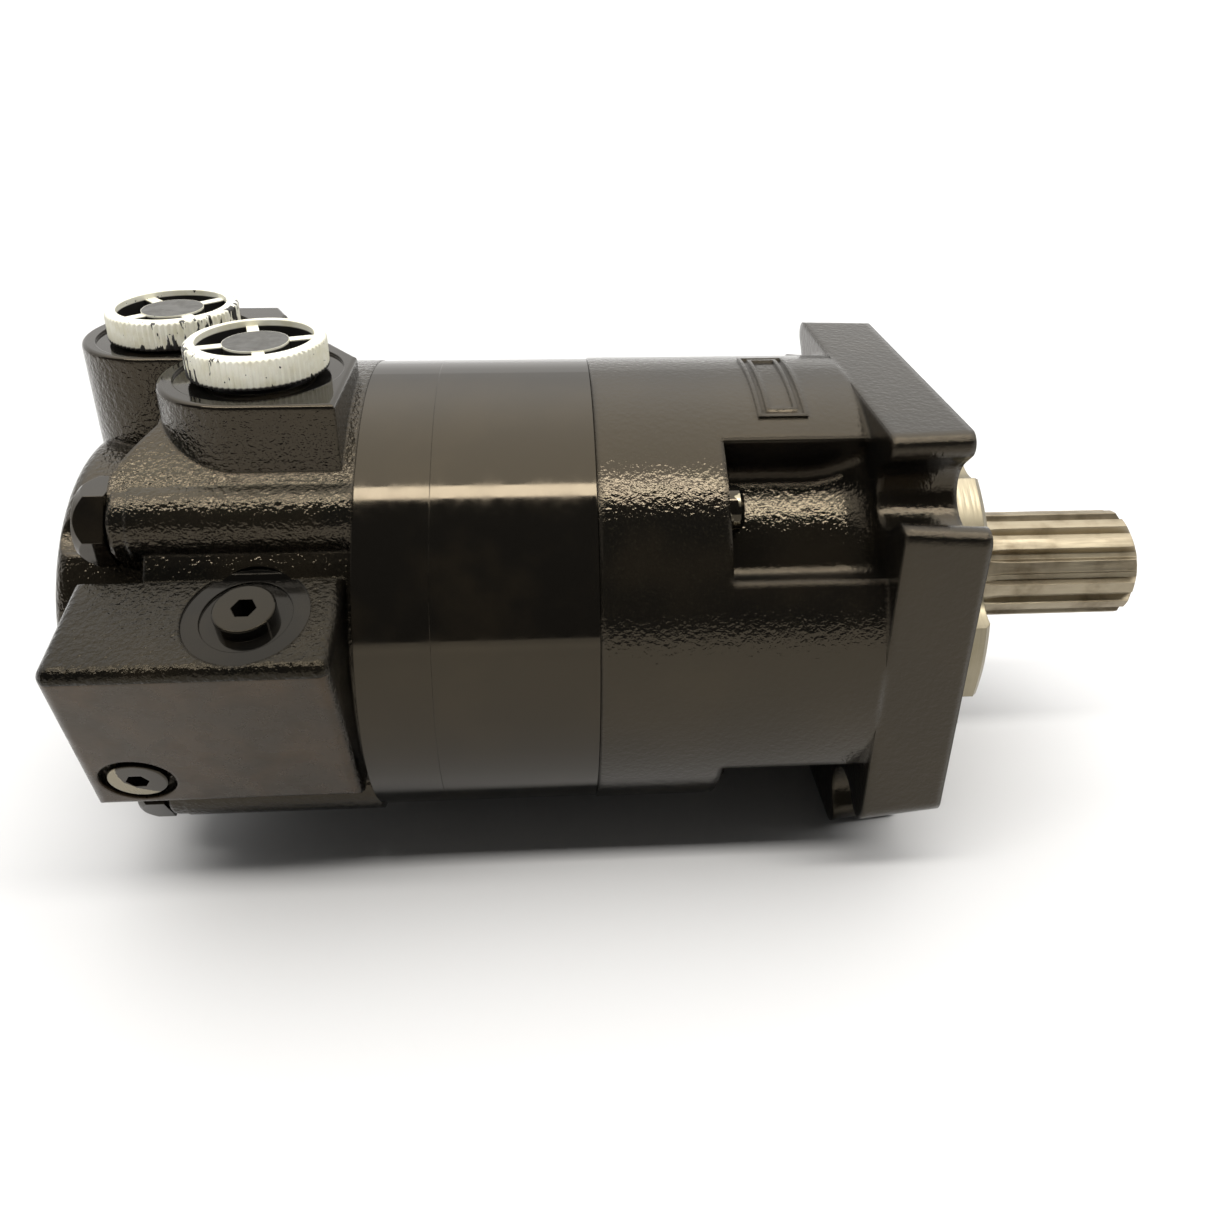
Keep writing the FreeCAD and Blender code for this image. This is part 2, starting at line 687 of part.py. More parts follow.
def port_cuts(port, bottom):
    x, y = port
    floor = PORT_TOP - PORT_THREAD_DEPTH
    return [Part.makeCylinder(SPOTFACE_R, 5, V(x, y, PORT_TOP - SPOTFACE_DEPTH)),
            Part.makeCylinder(PORT_THREAD_R, PORT_THREAD_DEPTH + 1, V(x, y, floor)),
            Part.makeCone(PORT_THREAD_R, PORT_THREAD_R + 2.3, PORT_CHAMFER,
                          V(x, y, PORT_TOP - SPOTFACE_DEPTH - PORT_CHAMFER)),
            Part.makeCylinder(7.0, floor - bottom + 1, V(x, y, bottom))]


def drain_place():
    """Centre of the drain plug seat and its outward direction."""
    corner, down, back = block_axes()
    outward = V(0, -back.z, back.y)
    return corner + back * DRAIN_BACK + V(DRAIN_X, 0, 0), outward


def relief_place():
    """Centre of the relief plug seat and its outward direction."""
    corner, down, back = block_axes()
    outward = V(0, down.z, -down.y)
    return corner + down * RELIEF_DOWN + V(RELIEF_X, 0, 0), outward


def spool_centre():
    corner, down, back = block_axes()
    return corner + down * SPOOL_DOWN + V(0, math.cos(0.35), math.sin(0.35)) * SPOOL_BACK


def small_port_cuts(place, sink, ring_r, depth):
    """Seat, thread and drilling of a small plugged port."""
    seat, outward = place
    inward = outward * -1
    base = seat + inward * sink
    return [Part.makeCylinder(ring_r, sink + 30, base, outward),
            Part.makeCylinder(SMALL_THREAD_R, depth, base, inward)]


def valve_housing():
    casting = cylinder_x(CASTING_REAR, HOUSING_FRONT, 58)
    saddle = sector_x(BOSS_REAR, HOUSING_FRONT, 30, BODY_R + 0.2, 90, 42)
    plan = [V(HOUSING_FRONT, -70, 0), V(HOUSING_FRONT, 70, 0), V(CASTING_REAR, 70, 0),
            V(CASTING_REAR, -23, 0), V(BOSS_REAR, -36, 0), V(BOSS_REAR, -70, 0),
            V(HOUSING_FRONT, -70, 0)]
    saddle = saddle.common(Part.Face(Part.makePolygon(plan)).extrude(V(0, 0, 90)))
    drum = cylinder_x(DRUM_REAR, CASTING_REAR + 2, DRUM_R)
    rim = [e for e in drum.Edges if e.BoundBox.XMax < DRUM_REAR + 0.01]
    drum = drum.makeFillet(5.0, rim)
    adds = [saddle, drum, valve_block(),
            port_boss(NEAR_BOSS, NEAR_BOSS_END, 9.0, 12.0),
            port_boss(FAR_BOSS, FAR_BOSS_END, 4.0, 8.0)]
    adds += bolt_holes(CASTING_REAR - 3, HOUSING_FRONT, BOLT_BOSS_R)
    for boss in bolt_holes(BOSS_REAR, CASTING_REAR, BOLT_BOSS_R - 0.3):
        end = [e for e in boss.Edges if e.BoundBox.XMax < BOSS_REAR + 0.01]
        adds.append(boss.makeFillet(BOLT_BOSS_ROUND, end))
    body = fuse_all(casting, adds)
    cuts = bolt_holes(BOSS_REAR - 1, HOUSING_FRONT + 1, BOLT_CLEAR_R)
    cuts += bolt_holes(DRUM_REAR - 10, BOSS_REAR, BOLT_SPOT_R)
    cuts += port_cuts(NEAR_PORT, 35) + port_cuts(FAR_PORT, 0)
    cuts.append(cylinder_x(CHAMBER_REAR, HOUSING_FRONT + 1, CHAMBER_R))
    cuts.append(cylinder_x(-214, CHAMBER_REAR + 1, 14))
    cuts.append(face_groove(HOUSING_FRONT - FACE_SEAL_T, HOUSING_FRONT + 1))
    for i in range(BALANCE_SPRINGS):
        y, z = polar(SPRING_CIRCLE_R + 1, 60.0 * i + 15)
        cuts.append(cylinder_x(-184, CHAMBER_REAR + 1, 3.1, y, z))
    cuts += small_port_cuts(drain_place(), 0.5, SMALL_RELIEF_R, 15)
    cuts += small_port_cuts(drain_place(), 1.1, SMALL_SPOT_R, 15)
    cuts += small_port_cuts(relief_place(), 3.2, SMALL_SPOT_R - 1.2, 30)
    spool = spool_centre()
    cuts.append(cylinder_x(BLOCK_REAR - 8, -157, SPOOL_BORE_R, spool.y, spool.z))
    cuts.append(cylinder_x(BLOCK_REAR - 8, BLOCK_REAR + 9, 8.0, spool.y, spool.z))
    return cut_all(body, cuts)


# ---------------------------------------------------------------- plugs and spool
def socket_plug(place, sink, stem):
    """Hollow-hex screw plug with an undercut for its seal."""
    seat, outward = place
    head = Part.makeCylinder(SMALL_HEAD_R, 3.4, V(0, 0, 0))
    head = head.makeFillet(0.5, [e for e in head.Edges if e.BoundBox.ZMin > 3.3])
    body = head.fuse(Part.makeCylinder(SMALL_THREAD_R - 0.02, stem, V(0, 0, -stem)))
    neck = Part.makeCylinder(8, 1.9, V(0, 0, -1.9)).cut(Part.makeCylinder(3.9, 1.9, V(0, 0, -1.9)))
    corner = 5.0 / math.sqrt(3)
    flats = [V(*polar(corner, 60 * i), -3.0) for i in range(7)]
    key = Part.Face(Part.makePolygon(flats)).extrude(V(0, 0, 8))
    return lay_along(body.cut(neck).cut(key), seat - outward * sink, outward)


def plug_seal(place, sink):
    seat, outward = place
    ring = Part.makeTorus(4.42, 0.48, V(0, 0, -0.5))
    return lay_along(ring, seat - outward * sink, outward)


def knurled_head():
    """Knurled disc with a rounded top edge."""
    pitch = 360.0 / PLUG_KNURLS
    rim = []
    for i in range(PLUG_KNURLS):
        rim.append(V(*polar(PLUG_HEAD_R, i * pitch), 0))
        rim.append(V(*polar(PLUG_HEAD_R - 0.45, (i + 0.5) * pitch), 0))
    knurls = Part.Face(Part.makePolygon(rim + rim[:1])).extrude(V(0, 0, PLUG_HEAD_H))
    disc = Part.makeCylinder(PLUG_HEAD_R + 0.05, PLUG_HEAD_H)
    top = [e for e in disc.Edges if e.BoundBox.ZMin > PLUG_HEAD_H - 0.01]
    return knurls.common(disc.makeFillet(PLUG_ROUND, top))


def port_plug(port, gap, turn):
    """Moulded thread protector: knurled ring, four spokes, hub and closed stem."""
    x, y = port
    body = knurled_head().fuse(Part.makeCylinder(PLUG_STEM_R, PLUG_STEM_L, V(0, 0, -PLUG_STEM_L)))
    wide = Part.makeCylinder(PLUG_RING_IN_R, PLUG_HEAD_H, V(0, 0, 1.6))
    deep = Part.makeCylinder(PLUG_STEM_R - 2.2, 22, V(0, 0, -PLUG_STEM_L + 2))
    hub = Part.makeCylinder(PLUG_HUB_R, PLUG_HEAD_H - 1.0)
    hub = hub.cut(Part.makeCylinder(PLUG_HUB_R - 1.6, 4.6, V(0, 0, -0.1)))
    bar = Part.makeBox(30, PLUG_SPOKE_W, PLUG_HEAD_H - 1.3, V(-15, -PLUG_SPOKE_W / 2, 0))
    cross = bar.copy()
    cross.rotate(ORIGIN, Z_DIR, 90)
    web = hub.fuse([bar, cross]).common(Part.makeCylinder(PLUG_RING_IN_R + 0.3, PLUG_HEAD_H))
    neck = 2.0 + gap
    groove = Part.makeCylinder(20, neck, V(0, 0, -neck))
    groove = groove.cut(Part.makeCylinder(10.9, neck, V(0, 0, -neck)))
    body = body.cut(wide.fuse(deep)).fuse(web).cut(groove)
    body.rotate(ORIGIN, Z_DIR, turn)
    body.translate(V(x, y, PORT_TOP - SPOTFACE_DEPTH + gap))
    return body


def port_plug_seal(port):
    x, y = port
    return Part.makeTorus(11.88, 0.93, V(x, y, PORT_TOP - SPOTFACE_DEPTH - 0.98))


def shuttle_spool():
    """Three-land spool, hollow at both ends for its centring springs."""
    c = spool_centre()
    spool = cylinder_x(-198, -167, SPOOL_R, c.y, c.z)
    cuts = []
    for x0 in (-190, -180):
        waist = cylinder_x(x0, x0 + 5, 8, c.y, c.z).cut(cylinder_x(x0 - 1, x0 + 6, 3.6, c.y, c.z))
        cuts.append(waist)
    cuts.append(cylinder_x(-199, -192, 4.4, c.y, c.z))
    cuts.append(cylinder_x(-173, -166, 4.4, c.y, c.z))
    return cut_all(spool, cuts)


def shuttle_springs():
    c = spool_centre()
    rear = lay_along(coil(3.5, 0.5, 6.8, 4), V(-202.4, c.y, c.z), X_DIR)
    front = lay_along(coil(3.5, 0.5, 11.8, 6), V(-157.6, c.y, c.z), X_DIR * -1)
    return Part.makeCompound([rear, front])


def spool_plug():
    c = spool_centre()
    plug = cylinder_x(BLOCK_REAR + 0.5, BLOCK_REAR + 9, 7.98, c.y, c.z)
    plug = plug.cut(hexagon_x(8.0, BLOCK_REAR, BLOCK_REAR + 5, c.y, c.z))
    return plug.cut(cylinder_x(BLOCK_REAR + 5.8, BLOCK_REAR + 8.0, 9, c.y, c.z)
                    .cut(cylinder_x(BLOCK_REAR + 5, BLOCK_REAR + 9, 6.2, c.y, c.z)))


def spool_plug_seal():
    c = spool_centre()
    return Part.makeTorus(7.1, 0.85, V(BLOCK_REAR + 6.9, c.y, c.z), X_DIR)


def relief_poppet():
    seat, outward = relief_place()
    poppet = Part.makeCylinder(4.4, 6, V(0, 0, 1.5)).fuse(Part.makeCone(1.2, 4.4, 1.5))
    poppet = poppet.cut(Part.makeCylinder(3.4, 5, V(0, 0, 3.5)))
    return lay_along(poppet, seat - outward * (3.2 + 29.6), outward)


def relief_spring():
    seat, outward = relief_place()
    return lay_along(coil(2.6, 0.45, 14.0, 7), seat - outward * (3.2 + 25.4), outward)


def tie_bolts():
    bolts = []
    for y, z in bolt_places():
        shank = cylinder_x(BOSS_REAR, BOLT_TIP, BOLT_R, y, z)
        tip = [e for e in shank.Edges if e.BoundBox.XMin > BOLT_TIP - 0.01]
        shank = shank.makeChamfer(1.1, tip)
        head = hexagon_x(BOLT_HEAD_AF, BOSS_REAR - BOLT_HEAD_H, BOSS_REAR, y, z, 0)
        crown = Part.makeCone(BOLT_HEAD_AF / 2 - 0.4, BOLT_HEAD_AF, 15.0,
                              V(BOSS_REAR - BOLT_HEAD_H, y, z), X_DIR)
        bolts.append(shank.fuse(head.common(crown)).removeSplitter())
    return Part.makeCompound(bolts)


def main():
    os.makedirs("parts", exist_ok=True)
    export(valve_housing(), "valve_housing")
    export(valve_plate(), "valve_plate")
    export(geroler_ring(), "geroler_ring")
    export(bearing_housing(), "bearing_housing")
    export(tie_bolts(), "tie_bolts")
    for i in range(ROLLERS):
        export(geroler_roller(i), "geroler_roller_%d" % (i + 1))
    export(geroler_star(), "geroler_star")
    export(link(DRIVE_STAR_X, DRIVE_SHAFT_X, 13.0, 8.5), "drive_link")
    export(link(VALVE_STAR_X, VALVE_DISC_X, 9.0, 7.5), "valve_link")
    export(drive_spacer(), "drive_spacer")
    export(output_shaft(), "output_shaft")
    export(shaft_nut(), "shaft_nut")
    for name, front in (("front", True), ("rear", False)):
        export(placed_bearing(bearing_cup(), front), name + "_bearing_cup")
        export(placed_bearing(bearing_cone(), front), name + "_bearing_cone")
        export(placed_bearing(bearing_rollers(), front), name + "_bearing_rollers")
        export(placed_bearing(bearing_cage(), front), name + "_bearing_cage")
    export(seal_carrier(), "seal_carrier")
    export(torus_x(-13.2, BEARING_R - 1.1, 1.05), "carrier_o_ring")
    export(shaft_seal(), "shaft_seal")
    export(dust_seal(), "dust_seal")
    export(retaining_ring(), "retaining_ring")
    half = FACE_SEAL_T / 2
    export(torus_x(GEROLER_FRONT + half, FACE_SEAL_R, half - 0.02), "bearing_housing_o_ring")
    export(torus_x(PLATE_FRONT - half, FACE_SEAL_R, half - 0.02), "valve_plate_o_ring")
    export(torus_x(HOUSING_FRONT - half, FACE_SEAL_R, half - 0.02), "valve_housing_o_ring")
    export(disc_valve(), "disc_valve")
    export(balance_ring(), "balance_ring")
    export(balance_springs(), "balance_springs")
    export(port_plug(NEAR_PORT, NEAR_PLUG_GAP, NEAR_PLUG_TURN), "near_port_plug")
    export(port_plug(FAR_PORT, FAR_PLUG_GAP, FAR_PLUG_TURN), "far_port_plug")
    export(port_plug_seal(NEAR_PORT), "near_port_plug_o_ring")
    export(port_plug_seal(FAR_PORT), "far_port_plug_o_ring")
    export(socket_plug(drain_place(), 1.1, 9.0), "drain_plug")
    export(plug_seal(drain_place(), 1.1), "drain_plug_o_ring")
    export(socket_plug(relief_place(), 3.2, 9.0), "relief_plug")
    export(plug_seal(relief_place(), 3.2), "relief_plug_o_ring")
    export(relief_poppet(), "relief_poppet")
    export(relief_spring(), "relief_spring")
    export(shuttle_spool(), "shuttle_spool")
    export(shuttle_springs(), "shuttle_springs")
    export(spool_plug(), "spool_plug")
    export(spool_plug_seal(), "spool_plug_o_ring")


main()
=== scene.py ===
import json
import math

import bpy
import bmesh
from mathutils import Matrix, Vector


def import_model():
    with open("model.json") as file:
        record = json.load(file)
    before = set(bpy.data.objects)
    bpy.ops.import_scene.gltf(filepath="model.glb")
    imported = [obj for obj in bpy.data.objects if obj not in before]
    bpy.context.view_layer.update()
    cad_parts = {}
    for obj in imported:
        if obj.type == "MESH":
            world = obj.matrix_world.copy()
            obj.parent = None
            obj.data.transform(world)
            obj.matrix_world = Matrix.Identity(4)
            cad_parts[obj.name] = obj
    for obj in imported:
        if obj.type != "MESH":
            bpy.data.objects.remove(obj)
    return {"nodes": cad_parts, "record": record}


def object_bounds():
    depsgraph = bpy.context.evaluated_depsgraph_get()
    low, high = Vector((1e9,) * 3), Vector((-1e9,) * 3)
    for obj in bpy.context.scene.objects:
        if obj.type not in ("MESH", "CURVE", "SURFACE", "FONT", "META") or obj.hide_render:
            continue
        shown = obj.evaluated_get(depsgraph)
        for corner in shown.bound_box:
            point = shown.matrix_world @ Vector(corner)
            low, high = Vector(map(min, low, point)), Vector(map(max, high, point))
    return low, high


# Looks of a black-painted hydraulic motor with bare shaft, bare pilot and ivory port plugs.
# Metres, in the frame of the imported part: +X along the shaft, +Z through the ports.

# Places on the part that carry a finish of their own.
NEAR_PORT = (-0.1736, -0.0124)
FAR_PORT = (-0.2037, 0.0196)
NEAR_HEAD = 0.0701
FAR_HEAD = 0.0693
BLOCK_CORNER = (-0.0772, 0.0238)
FACE_TILT = math.radians(20)
TOP_TILT = math.radians(16)
DRAIN = (-0.1707, 0.0165)
RELIEF = (-0.2030, 0.0452)

# Finish boundaries on the castings and the bolts. The block's top carries painted shade, as dimmed
# reflections, from BLOCK_SKIN below it, and back to BLOCK_TOP_BACK behind the drain.
BLOCK_SKIN = 0.0030
BLOCK_TOP_BACK = 0.0150
DRAIN_SEAT_R = 0.0144
PORT_FACE_FROM = 0.0680
PILOT_FROM = 0.0004
BOLT_TIP_FROM = -0.0590

# Finish boundaries on a port plug: radii, and heights above the underside of its head.
HUB_R = 0.0080
STEM_R = 0.0134
POCKET_R = 0.0148
KNURL_FROM_R = 0.0160
HEM_H = 0.0004
POCKET_H = 0.0061
DRIP_H = 0.0025

# Skin of the castings: radius of the softened edges, depth of the grit.
SHARP_EDGE = 0.0011
FULL_EDGE = 0.0026
COARSE_GRIT = 0.00036
FINE_GRIT = 0.00013

# Room: strength of the dark front, the wall and the ceiling, and where one becomes the next.
FRONT_LEVEL = 0.09
WALL_LEVEL = 1.1
CEILING_LEVEL = 2.8
FRONT_LEAN = 0.25
FRONT_BLUR = 0.03
WALL_TOP = 0.35
CEILING_FROM = 0.95
FLOOR_HALF = 12.0


# ------------------------------------------------------------------ node helpers
class Nodes:
    """Small builder for one material's node tree."""

    def __init__(self, name):
        self.material = bpy.data.materials.new(name)
        self.material.use_nodes = True
        self.tree = self.material.node_tree
        self.tree.nodes.clear()
        self.place = self.add("ShaderNodeTexCoord").outputs["Object"]

    def add(self, kind, **settings):
        node = self.tree.nodes.new(kind)
        for key, value in settings.items():
            setattr(node, key, value)
        return node

    def join(self, source, target):
        self.tree.links.new(source, target)

    def put(self, socket, value):
        if isinstance(value, bpy.types.NodeSocket):
            self.join(value, socket)
        else:
            socket.default_value = value

    def math(self, operation, first, second=None, third=None, clamp=False):
        node = self.add("ShaderNodeMath", operation=operation, use_clamp=clamp)
        for socket, value in zip(node.inputs, (first, second, third)):
            if value is not None:
                self.put(socket, value)
        return node.outputs[0]

    def ramp(self, value, low, high, start=0.0, end=1.0):
        """Smooth step of value from low to high."""
        node = self.add("ShaderNodeMapRange", interpolation_type="SMOOTHSTEP")
        for socket, item in zip(node.inputs, (value, low, high, start, end)):
            self.put(socket, item)
        return node.outputs[0]

    def colour_mix(self, factor, first, second):
        node = self.add("ShaderNodeMix", data_type="RGBA")
        self.put(node.inputs["Factor"], factor)
        self.put(node.inputs["A"], first)
        self.put(node.inputs["B"], second)
        return node.outputs["Result"]

    def noise(self, scale, detail=2.0, rough=0.5, vector=None, warp=0.0):
        node = self.add("ShaderNodeTexNoise")
        self.put(node.inputs["Vector"], vector or self.place)
        node.inputs["Scale"].default_value = scale
        node.inputs["Detail"].default_value = detail
        node.inputs["Roughness"].default_value = rough
        node.inputs["Distortion"].default_value = warp
        return node.outputs["Fac"]

    def cells(self, scale, feature="F1", vector=None):
        node = self.add("ShaderNodeTexVoronoi", feature=feature)
        self.put(node.inputs["Vector"], vector or self.place)
        node.inputs["Scale"].default_value = scale
        return node.outputs["Distance"]

    def scaled(self, x, y, z, vector=None):
        node = self.add("ShaderNodeMapping")
        self.put(node.inputs["Vector"], vector or self.place)
        node.inputs["Scale"].default_value = (x, y, z)
        return node.outputs["Vector"]

    def split(self, vector=None):
        node = self.add("ShaderNodeSeparateXYZ")
        self.put(node.inputs[0], vector or self.place)
        return node.outputs

    def bump(self, height, strength, distance, normal=None):
        node = self.add("ShaderNodeBump")
        node.inputs["Strength"].default_value = strength
        node.inputs["Distance"].default_value = distance
        self.put(node.inputs["Height"], height)
        if normal is not None:
            self.put(node.inputs["Normal"], normal)
        return node.outputs["Normal"]

    def soft_edges(self, radius):
        node = self.add("ShaderNodeBevel", samples=4)
        node.inputs["Radius"].default_value = radius
        return node.outputs["Normal"]

    def surface(self, **sockets):
        shader = self.add("ShaderNodeBsdfPrincipled")
        for key, value in sockets.items():
            self.put(shader.inputs[key.replace("_", " ")], value)
        return shader.outputs[0]

    def finish(self, shader):
        out = self.add("ShaderNodeOutputMaterial")
        self.join(shader, out.inputs["Surface"])
        return self.material

    def blend_shaders(self, factor, first, second):
        node = self.add("ShaderNodeMixShader")
        self.put(node.inputs[0], factor)
        self.join(first, node.inputs[1])
        self.join(second, node.inputs[2])
        return node.outputs[0]


# ------------------------------------------------------------------ materials
BLACK = (0.0030, 0.0028, 0.0025, 1)
BLACK_WARM = (0.0072, 0.0058, 0.0040, 1)
# Lighter speck colour painted on the cast paint as glints.
PAINTED_GLINT = (0.010, 0.009, 0.006, 1)
# Brown painted on the valve block's front face as the reflection of a warm floor.
BROWN_FLOOR_REFLECTION = (0.026, 0.015, 0.007, 1)
# Warm reflection tint on all the paint: painted light colour, standing in for the warm colour of
# the room's light in its reflections.
WARM_LIGHT_TINT = (0.95, 0.80, 0.58, 1)
# Dimmed reflection tints: painted shade on the valve block's top, its drain seat and its drain
# plug.
DIM_SHADE_TINT = (0.40, 0.34, 0.24, 1)
SEAT_SHADE_TINT = (0.28, 0.25, 0.20, 1)
# Brown reflection tint, painted on the block's front face as a warm floor's reflection.
BROWN_REFLECTION_TINT = (0.80, 0.58, 0.34, 1)
STEEL = (0.33, 0.285, 0.205, 1)
STEEL_DARK = (0.15, 0.115, 0.070, 1)
CREAM_STEEL = (0.26, 0.230, 0.165, 1)
CREAM_DARK = (0.23, 0.20, 0.135, 1)
IVORY = (0.80, 0.79, 0.69, 1)
IVORY_OLD = (0.66, 0.63, 0.47, 1)
PAINT_SPOT = (0.012, 0.011, 0.010, 1)


def cast_normal(n, edge, depth):
    """Sand-cast skin under thick paint: grit, pits and slow waves."""
    grit = n.noise(800, 2.0, 0.6)
    pits = n.ramp(n.cells(520, "SMOOTH_F1"), 0.05, 0.6)
    waves = n.noise(110, 2.0, 0.5)
    height = n.math("MULTIPLY_ADD", pits, 0.15, grit)
    height = n.math("MULTIPLY_ADD", waves, 0.25, height)
    return n.bump(height, 1.0, depth, n.soft_edges(edge))


def gloss_paint(n, tint, rough, normal, gloss=WARM_LIGHT_TINT):
    return n.surface(Base_Color=tint, Roughness=rough, Normal=normal, IOR=1.5,
                     Specular_Tint=gloss)


def cast_paint(n, edge=SHARP_EDGE, depth=COARSE_GRIT, gloss=WARM_LIGHT_TINT):
    """Thick gloss black over a rough sand casting, with lighter specks painted in as glints."""
    patches = n.colour_mix(n.ramp(n.noise(40, 3.0), 0.42, 0.7), BLACK, BLACK_WARM)
    # Painted glints: fine noise specks in a lighter colour.
    painted_glints = n.ramp(n.noise(1700, 2.0, 0.6), 0.55, 0.72)
    tint = n.colour_mix(painted_glints, patches, PAINTED_GLINT)
    rough = n.ramp(n.noise(1300, 3.0, 0.7), 0.35, 0.65, 0.05, 0.10)
    return gloss_paint(n, tint, rough, cast_normal(n, edge, depth), gloss)


def smooth_paint(n, gloss=WARM_LIGHT_TINT):
    """Gloss black over turned steel: faint rings and runs."""
    turned = n.noise(60, 2.0, 0.6, vector=n.scaled(40, 1, 1))
    orange = n.noise(420, 2.0, 0.5)
    height = n.math("MULTIPLY_ADD", turned, 0.5, n.math("MULTIPLY", orange, 0.25))
    normal = n.bump(height, 0.25, 0.00003, n.soft_edges(0.0003))
    tint = n.colour_mix(n.ramp(n.noise(60, 4.0), 0.45, 0.7), BLACK, BLACK_WARM)
    rough = n.ramp(n.noise(160, 4.0, 0.6), 0.35, 0.8, 0.055, 0.13)
    return gloss_paint(n, tint, rough, normal, gloss)


def satin_face_with_reflection(n):
    """Smoother, rougher-paint skin of the valve block's front face, with brown clouds and a brown
    reflection tint painted in as the reflection of a warm floor.
    """
    fine = n.bump(n.noise(500, 3.0, 0.6), 0.5, 0.00005, n.soft_edges(SHARP_EDGE))
    # Painted reflection: brown clouds standing in for a warm floor's reflection.
    cloud = n.ramp(n.noise(55, 4.0, 0.6, warp=0.6), 0.35, 0.7)
    tint = n.colour_mix(cloud, BLACK_WARM, BROWN_FLOOR_REFLECTION)
    rough = n.ramp(n.noise(120, 4.0, 0.6), 0.3, 0.75, 0.20, 0.38)
    return gloss_paint(n, tint, rough, fine, BROWN_REFLECTION_TINT)


def bare_steel(n, across, rough, light=STEEL, dark=STEEL_DARK):
    """Machined steel, its marks packed closer along the axes scaled up by across."""
    marks = n.noise(80, 3.0, 0.65, vector=n.scaled(*across))
    stain = n.ramp(n.noise(70, 4.0, 0.6), 0.42, 0.75)
    tint = n.colour_mix(stain, light, dark)
    normal = n.bump(marks, 0.35, 0.00005, n.soft_edges(0.0004))
    gloss = n.ramp(marks, 0.3, 0.7, *rough)
    return n.surface(Base_Color=tint, Metallic=1.0, Roughness=gloss, Normal=normal)


def block_place(along_top, down_face):
    """(y, z) on the valve block, from its corner back along the top and down the face."""
    y = BLOCK_CORNER[0] + along_top * math.cos(TOP_TILT) + down_face * math.sin(FACE_TILT)
    z = BLOCK_CORNER[1] + along_top * math.sin(TOP_TILT) - down_face * math.cos(FACE_TILT)
    return y, z


def along(n, y_part, z_part):
    """Distance along a direction in the YZ plane."""
    y, z = n.split()[1:3]
    return n.math("MULTIPLY_ADD", y, y_part, n.math("MULTIPLY", z, z_part))


def radius_about(n, first, second, first_centre, second_centre):
    a = n.math("SUBTRACT", first, first_centre)
    b = n.math("SUBTRACT", second, second_centre)
    return n.math("SQRT", n.math("MULTIPLY_ADD", a, a, n.math("MULTIPLY", b, b)))


def make_valve_housing():
    """Cast paint with painted shade (dimmed reflections) on the block's top, a rougher front face
    with a painted brown reflection, and machined port and drain seats.
    """
    n = Nodes("cast_paint_and_seats")
    place = n.split()
    face_y, face_z = -math.cos(FACE_TILT), -math.sin(FACE_TILT)
    face_at = BLOCK_CORNER[0] * face_y + BLOCK_CORNER[1] * face_z
    on_face = n.ramp(along(n, face_y, face_z), face_at - 0.0012, face_at - 0.0002)
    top_y, top_z = -math.sin(TOP_TILT), math.cos(TOP_TILT)
    top_at = BLOCK_CORNER[0] * top_y + BLOCK_CORNER[1] * top_z
    height = along(n, top_y, top_z)
    near_top = n.math("MULTIPLY", n.ramp(height, top_at - BLOCK_SKIN, top_at - BLOCK_SKIN + 0.0001),
                      n.ramp(height, top_at + 0.0012, top_at + 0.0008))
    back = along(n, math.cos(TOP_TILT), math.sin(TOP_TILT))
    drain_y, drain_z = block_place(DRAIN[1], 0.0)
    drain_back = drain_y * math.cos(TOP_TILT) + drain_z * math.sin(TOP_TILT)
    drain_r = radius_about(n, place[0], back, DRAIN[0], drain_back)
    top_end = drain_back + BLOCK_TOP_BACK
    on_top = n.math("MULTIPLY", near_top, n.ramp(back, top_end, top_end - 0.0008))
    seat = n.math("MULTIPLY", n.ramp(drain_r, DRAIN_SEAT_R, DRAIN_SEAT_R - 0.0001), near_top)
    port_face = n.ramp(place[2], PORT_FACE_FROM, PORT_FACE_FROM + 0.0002)
    # Block front: satin paint carrying a painted brown floor reflection.
    paint = n.blend_shaders(on_face, cast_paint(n), satin_face_with_reflection(n))
    # Block top: reflections dimmed as painted shade.
    paint = n.blend_shaders(on_top, paint, cast_paint(n, gloss=DIM_SHADE_TINT))
    paint = n.blend_shaders(seat, paint, smooth_paint(n, SEAT_SHADE_TINT))
    return n.finish(n.blend_shaders(port_face, paint, smooth_paint(n)))


def make_bearing_housing():
    """Cast paint, changing to bare metal on the pilot in front of the flange."""
    n = Nodes("cast_paint_and_pilot")
    ahead = n.ramp(n.split()[0], PILOT_FROM, PILOT_FROM + 0.0003)
    bare = bare_steel(n, (40, 1, 1), (0.3, 0.5), CREAM_STEEL, CREAM_DARK)
    return n.finish(n.blend_shaders(ahead, cast_paint(n, FULL_EDGE, FINE_GRIT), bare))


def make_smooth(name, gloss=WARM_LIGHT_TINT):
    n = Nodes(name)
    return n.finish(smooth_paint(n, gloss))


def make_tie_bolts():
    """Machined paint, worn through to bare metal in patches on the bolt tips."""
    n = Nodes("bolt_paint")
    patch = n.ramp(n.noise(260, 2.0, 0.5), 0.62, 0.66)
    on_tip = n.ramp(n.split()[0], BOLT_TIP_FROM, BOLT_TIP_FROM + 0.0010)
    patch = n.math("MULTIPLY", patch, on_tip)
    bare = bare_steel(n, (30, 1, 1), (0.18, 0.3), CREAM_STEEL, CREAM_DARK)
    return n.finish(n.blend_shaders(patch, smooth_paint(n), bare))


